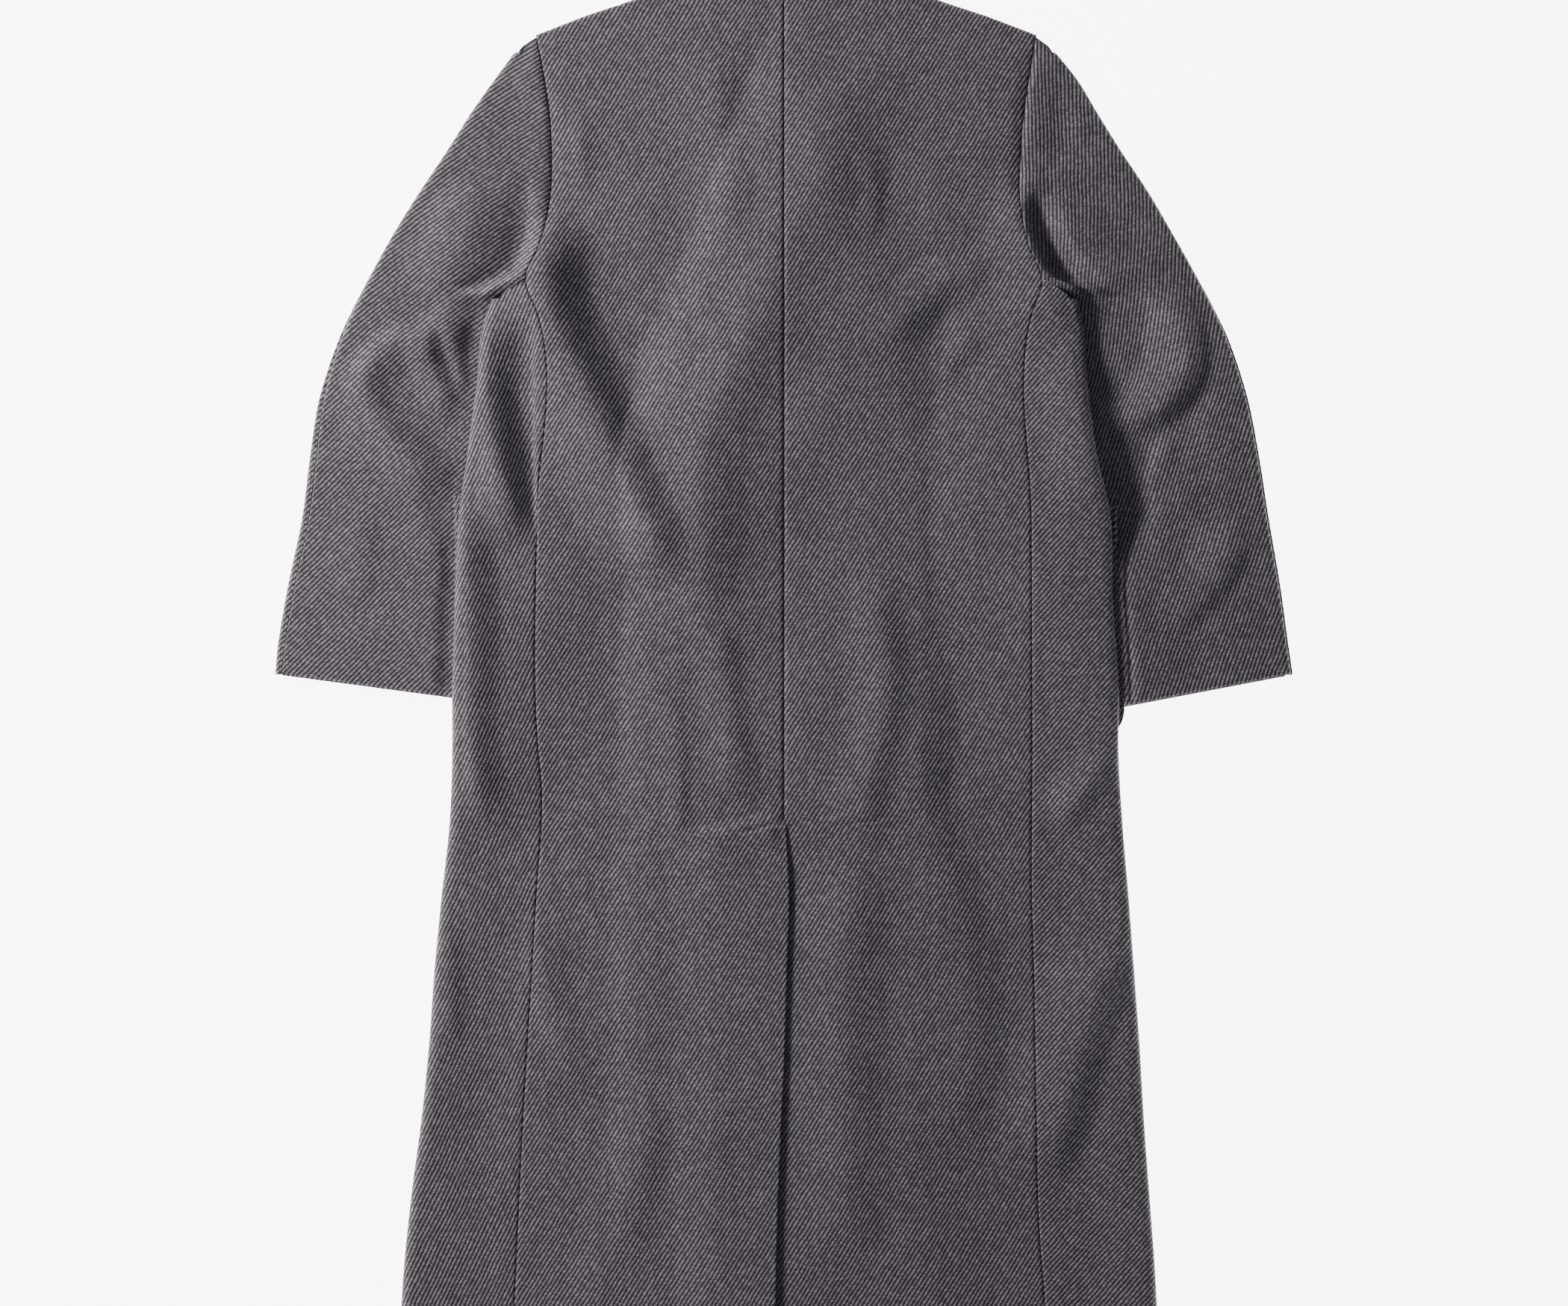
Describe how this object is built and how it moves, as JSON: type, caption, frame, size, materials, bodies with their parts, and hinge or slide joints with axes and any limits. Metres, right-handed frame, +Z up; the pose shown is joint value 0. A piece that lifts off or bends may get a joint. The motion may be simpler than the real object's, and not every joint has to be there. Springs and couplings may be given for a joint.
{
  "type": "polo coat",
  "caption": "Long double-breasted wool overcoat laid flat on its front, back uppermost, with a centre vent, two-piece sleeves, patch pockets and a turned-down collar.",
  "frame": {"origin": "centre of the coat's box on the surface it lies on", "axes": "+X to the right as the back is seen, +Y from the hem to the collar, +Z up"},
  "size_m": [0.9288, 1.292, 0.0321],
  "materials": {
    "wool_twill": "heavy charcoal wool twill with a soft nap",
    "horn": "dark horn-like, satin polish"
  },
  "bodies": {
    "root": {"back_left": "wool_twill", "back_right": "wool_twill", "side_left": "wool_twill", "side_right": "wool_twill", "front_left": "wool_twill", "front_right": "wool_twill", "lapel_left": "wool_twill", "lapel_right": "wool_twill", "collar": "wool_twill", "sleeve_hind_left": "wool_twill", "sleeve_hind_right": "wool_twill", "sleeve_front_left": "wool_twill", "sleeve_front_right": "wool_twill", "pocket_left": "wool_twill", "pocket_right": "wool_twill", "pocket_flap_left": "wool_twill", "pocket_flap_right": "wool_twill", "button_1": "horn", "button_2": "horn", "button_3": "horn", "button_4": "horn", "button_5": "horn", "button_6": "horn"}
  },
  "joints": []
}
